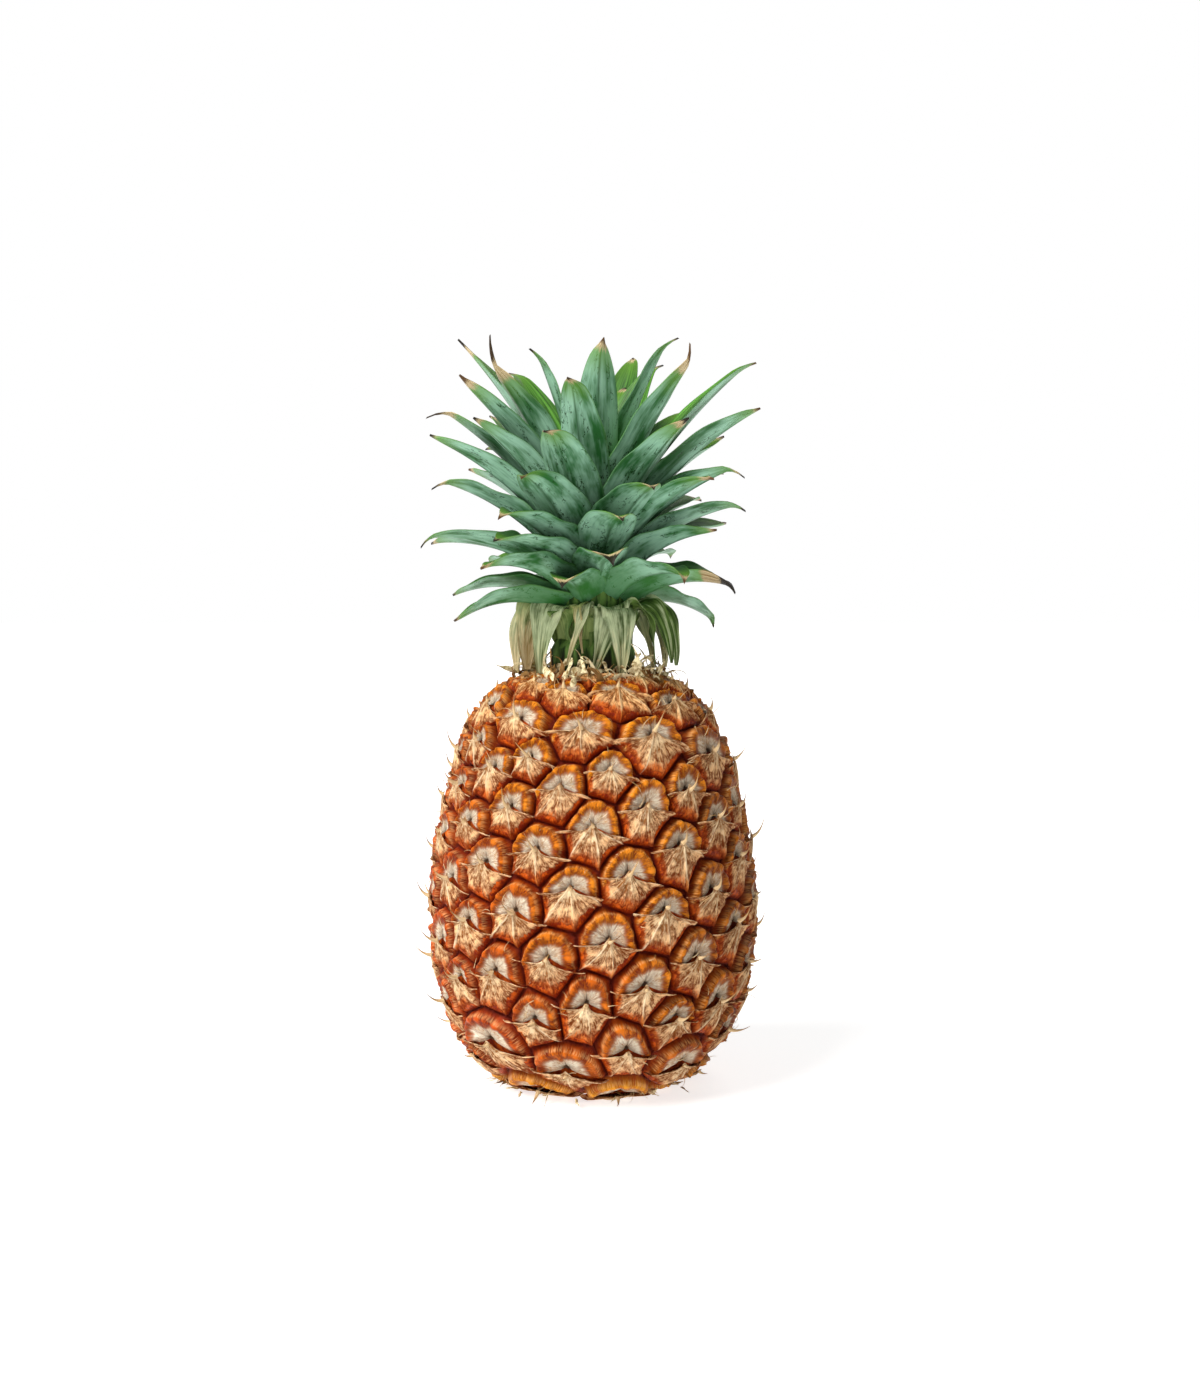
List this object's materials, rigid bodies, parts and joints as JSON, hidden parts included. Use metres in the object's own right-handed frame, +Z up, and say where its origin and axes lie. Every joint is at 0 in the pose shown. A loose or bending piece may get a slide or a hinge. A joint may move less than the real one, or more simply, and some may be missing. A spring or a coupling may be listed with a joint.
{
  "type": "pineapple",
  "caption": "Whole ripe pineapple standing on its base: barrel-shaped fruit with a spiral rind of raised, spined eyes, a skirt of withered leaves and a leafy crown.",
  "frame": {"origin": "middle of the base, on the surface the fruit stands on", "axes": "+Z up through the crown; -Y is the front"},
  "size_m": [0.1408, 0.1409, 0.289],
  "materials": {
    "rind": "waxy orange rind with grey-cream woolly eye caps and dry papery bracts",
    "stalk": "dry fibrous cut end",
    "withered_leaf": "dry, ribbed, matt straw and grey-green",
    "leaf": "waxy blue-green with a pale bloom on the outer faces"
  },
  "bodies": {
    "root": {"fruit": "rind", "stalk": "stalk", "withered_leaves": "withered_leaf", "crown": "leaf"}
  },
  "joints": []
}
